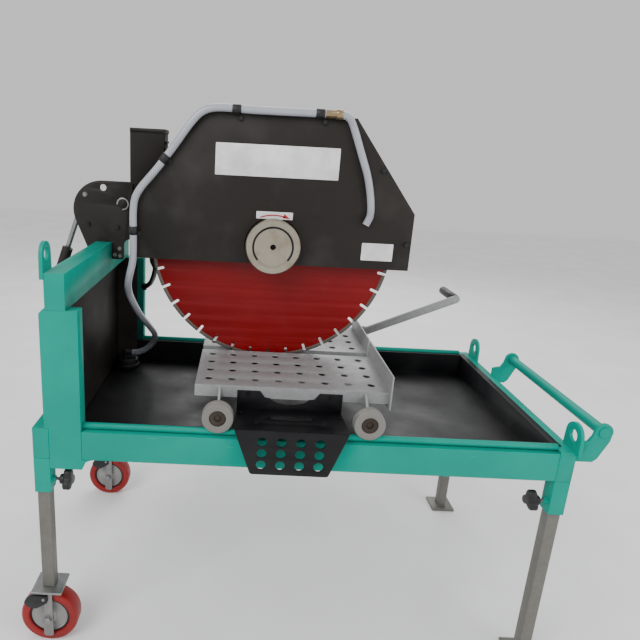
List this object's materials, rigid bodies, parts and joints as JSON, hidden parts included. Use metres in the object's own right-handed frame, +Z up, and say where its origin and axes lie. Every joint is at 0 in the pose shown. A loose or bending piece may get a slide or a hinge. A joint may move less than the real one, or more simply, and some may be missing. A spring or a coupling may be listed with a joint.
{
  "type": "masonry saw",
  "caption": "Wet masonry saw: a steel stand with a water tray, a perforated cart rolling on two bars, and a tilting head with a large guarded diamond blade.",
  "frame": {"origin": "middle of the whole saw's footprint, on the floor", "axes": "+X along the rails from the blade head's pivot to the carrying handle, +Y from the operator's side to the back, +Z up"},
  "size_m": [1.465, 0.737, 1.3478],
  "materials": {
    "green_paint": "satin teal-green paint",
    "black_paint": "satin black paint",
    "black_plastic": "matte black",
    "tray_black": "gloss black paint",
    "galvanised": "galvanised sheet",
    "plain_steel": "bright zinc plate",
    "machined_steel": "turned steel",
    "blade_red": "satin red paint",
    "caster_red": "red polyurethane tread",
    "motor_grey": "painted ribbed housing",
    "belt_rubber": "matte rubber",
    "clear_hose": "braided clear hose",
    "brass": "brass",
    "button_green": "green push button",
    "button_red": "red mushroom button"
  },
  "bodies": {
    "frame": {"front_rail": "green_paint", "rear_rail": "green_paint", "left_rail": "green_paint", "right_rail": "green_paint", "front_track_bar": "green_paint", "rear_track_bar": "green_paint", "front_column": "green_paint", "rear_column": "green_paint", "top_beam": "green_paint", "leg_socket_front_left": "green_paint", "leg_socket_rear_left": "green_paint", "leg_socket_front_right": "green_paint", "leg_socket_rear_right": "green_paint", "carry_handle": "green_paint", "water_tray": "tray_black", "splash_panel": "black_paint", "water_pump": "black_plastic", "pivot_cheek_front": "black_paint", "pivot_cheek_rear": "black_paint", "hose_lower": "clear_hose", "motor_cable": "black_plastic"},
    "leg_front_left": {"inner_leg_front_left": "galvanised", "caster_fork_front": "plain_steel"},
    "leg_rear_left": {"inner_leg_rear_left": "galvanised", "caster_fork_rear": "plain_steel"},
    "leg_front_right": {"inner_leg_front_right": "galvanised"},
    "leg_rear_right": {"inner_leg_rear_right": "galvanised"},
    "caster_wheel_front": {"caster_wheel_front": "caster_red"},
    "caster_wheel_rear": {"caster_wheel_rear": "caster_red"},
    "caster_brake_front": {"caster_brake_front": "black_plastic"},
    "caster_brake_rear": {"caster_brake_rear": "black_plastic"},
    "cart": {"cart_table": "galvanised", "push_bracket": "black_paint"},
    "push_lever": {"push_lever": "galvanised"},
    "head": {"head_arm": "black_paint", "guard_front": "black_paint", "guard_rear": "black_paint", "motor": "motor_grey", "belt_cover": "black_paint", "drive_belt": "belt_rubber", "switch_box": "black_paint", "hose_upper": "clear_hose", "hose_drop": "clear_hose", "hose_fitting": "brass"},
    "blade_shaft": {"spindle": "machined_steel", "blade": "blade_red", "outer_flange": "machined_steel"},
    "motor_pulley": {"motor_pulley": "plain_steel"},
    "start_button": {"start_button": "button_green"},
    "stop_button": {"stop_button": "button_red"},
    "strut_cylinder": {"strut_cylinder": "black_paint"},
    "strut_rod": {"strut_rod": "plain_steel"},
    "knob_front_left": {"leg_knob_front_left": "black_plastic"},
    "cart_wheel_front_left": {"cart_wheel_front_left": "galvanised"},
    "knob_rear_left": {"leg_knob_rear_left": "black_plastic"},
    "cart_wheel_rear_left": {"cart_wheel_rear_left": "galvanised"},
    "knob_front_right": {"leg_knob_front_right": "black_plastic"},
    "cart_wheel_front_right": {"cart_wheel_front_right": "galvanised"},
    "knob_rear_right": {"leg_knob_rear_right": "black_plastic"},
    "cart_wheel_rear_right": {"cart_wheel_rear_right": "galvanised"}
  },
  "joints": [
    {"name": "cart_slide", "type": "slide", "parent": "frame", "child": "cart", "axis": [1, 0, 0], "range_m": [-0.15, 0.38]},
    {"name": "head_tilt", "type": "hinge", "parent": "frame", "child": "head", "pos_m": [-0.49101, 0.005, 1.0766], "axis": [0, -1, 0], "range_deg": [0, 15]},
    {"name": "blade_spin", "type": "hinge", "parent": "head", "child": "blade_shaft", "pos_m": [-0.06851, 0.005, 1.002], "axis": [0, 1, 0], "continuous": true},
    {"name": "motor_spin", "type": "hinge", "parent": "head", "child": "motor_pulley", "pos_m": [-0.23851, 0.0795, 1.208], "axis": [0, 1, 0], "continuous": true},
    {"name": "strut_swing", "type": "hinge", "parent": "frame", "child": "strut_cylinder", "pos_m": [-0.71851, 0.1875, 0.809], "axis": [0, 1, 0], "range_deg": [-0.5, 3]},
    {"name": "strut_stroke", "type": "slide", "parent": "strut_cylinder", "child": "strut_rod", "axis": [-0.3283, 0, -0.9446], "range_m": [-0.001, 0.034]},
    {"name": "lever_fold", "type": "hinge", "parent": "cart", "child": "push_lever", "pos_m": [0.24349, 0.1705, 0.712], "axis": [0, -1, 0], "range_deg": [-15, 45]},
    {"name": "start_press", "type": "slide", "parent": "head", "child": "start_button", "axis": [0, -1, 0], "range_m": [0, 0.004], "stiffness_N_per_m": 900},
    {"name": "stop_press", "type": "slide", "parent": "head", "child": "stop_button", "axis": [0, -1, 0], "range_m": [0, 0.004], "stiffness_N_per_m": 900},
    {"name": "leg_slide_front_left", "type": "slide", "parent": "frame", "child": "leg_front_left", "axis": [0, 0, 1], "range_m": [-0.04, 0]},
    {"name": "knob_turn_front_left", "type": "hinge", "parent": "frame", "child": "knob_front_left", "pos_m": [-0.59251, -0.3185, 0.459], "axis": [1, 0, 0], "range_deg": [-360, 360]},
    {"name": "leg_slide_rear_left", "type": "slide", "parent": "frame", "child": "leg_rear_left", "axis": [0, 0, 1], "range_m": [-0.04, 0]},
    {"name": "knob_turn_rear_left", "type": "hinge", "parent": "frame", "child": "knob_rear_left", "pos_m": [-0.59251, 0.3285, 0.459], "axis": [1, 0, 0], "range_deg": [-360, 360]},
    {"name": "leg_slide_front_right", "type": "slide", "parent": "frame", "child": "leg_front_right", "axis": [0, 0, 1], "range_m": [-0.04, 0]},
    {"name": "knob_turn_front_right", "type": "hinge", "parent": "frame", "child": "knob_front_right", "pos_m": [0.63649, -0.3185, 0.459], "axis": [1, 0, 0], "range_deg": [-360, 360]},
    {"name": "leg_slide_rear_right", "type": "slide", "parent": "frame", "child": "leg_rear_right", "axis": [0, 0, 1], "range_m": [-0.04, 0]},
    {"name": "knob_turn_rear_right", "type": "hinge", "parent": "frame", "child": "knob_rear_right", "pos_m": [0.63649, 0.3285, 0.459], "axis": [1, 0, 0], "range_deg": [-360, 360]},
    {"name": "cart_wheel_spin_front_left", "type": "hinge", "parent": "cart", "child": "cart_wheel_front_left", "pos_m": [-0.18551, -0.3185, 0.641], "axis": [0, 1, 0], "continuous": true},
    {"name": "cart_wheel_spin_rear_left", "type": "hinge", "parent": "cart", "child": "cart_wheel_rear_left", "pos_m": [-0.18551, 0.3285, 0.641], "axis": [0, 1, 0], "continuous": true},
    {"name": "cart_wheel_spin_front_right", "type": "hinge", "parent": "cart", "child": "cart_wheel_front_right", "pos_m": [0.16749, -0.3185, 0.641], "axis": [0, 1, 0], "continuous": true},
    {"name": "cart_wheel_spin_rear_right", "type": "hinge", "parent": "cart", "child": "cart_wheel_rear_right", "pos_m": [0.16749, 0.3285, 0.641], "axis": [0, 1, 0], "continuous": true},
    {"name": "caster_spin_front", "type": "hinge", "parent": "leg_front_left", "child": "caster_wheel_front", "pos_m": [-0.59251, -0.3185, 0.072], "axis": [0, 1, 0], "continuous": true},
    {"name": "brake_front", "type": "hinge", "parent": "leg_front_left", "child": "caster_brake_front", "pos_m": [-0.59951, -0.3475, 0.138], "axis": [0, 1, 0], "range_deg": [-22, 0]},
    {"name": "caster_spin_rear", "type": "hinge", "parent": "leg_rear_left", "child": "caster_wheel_rear", "pos_m": [-0.59251, 0.3285, 0.072], "axis": [0, 1, 0], "continuous": true},
    {"name": "brake_rear", "type": "hinge", "parent": "leg_rear_left", "child": "caster_brake_rear", "pos_m": [-0.59951, 0.2995, 0.138], "axis": [0, 1, 0], "range_deg": [-22, 0]}
  ],
  "couplings": [
    {"joint": "motor_spin", "follows": "blade_spin", "ratio": 1},
    {"joint": "strut_swing", "follows": "head_tilt", "ratio": 0.1511},
    {"joint": "strut_stroke", "follows": "head_tilt", "m_per_rad": 0.1226},
    {"joint": "cart_wheel_spin_front_left", "follows": "cart_slide", "rad_per_m": 33.67},
    {"joint": "cart_wheel_spin_rear_left", "follows": "cart_slide", "rad_per_m": 33.67},
    {"joint": "cart_wheel_spin_front_right", "follows": "cart_slide", "rad_per_m": 33.67},
    {"joint": "cart_wheel_spin_rear_right", "follows": "cart_slide", "rad_per_m": 33.67}
  ]
}
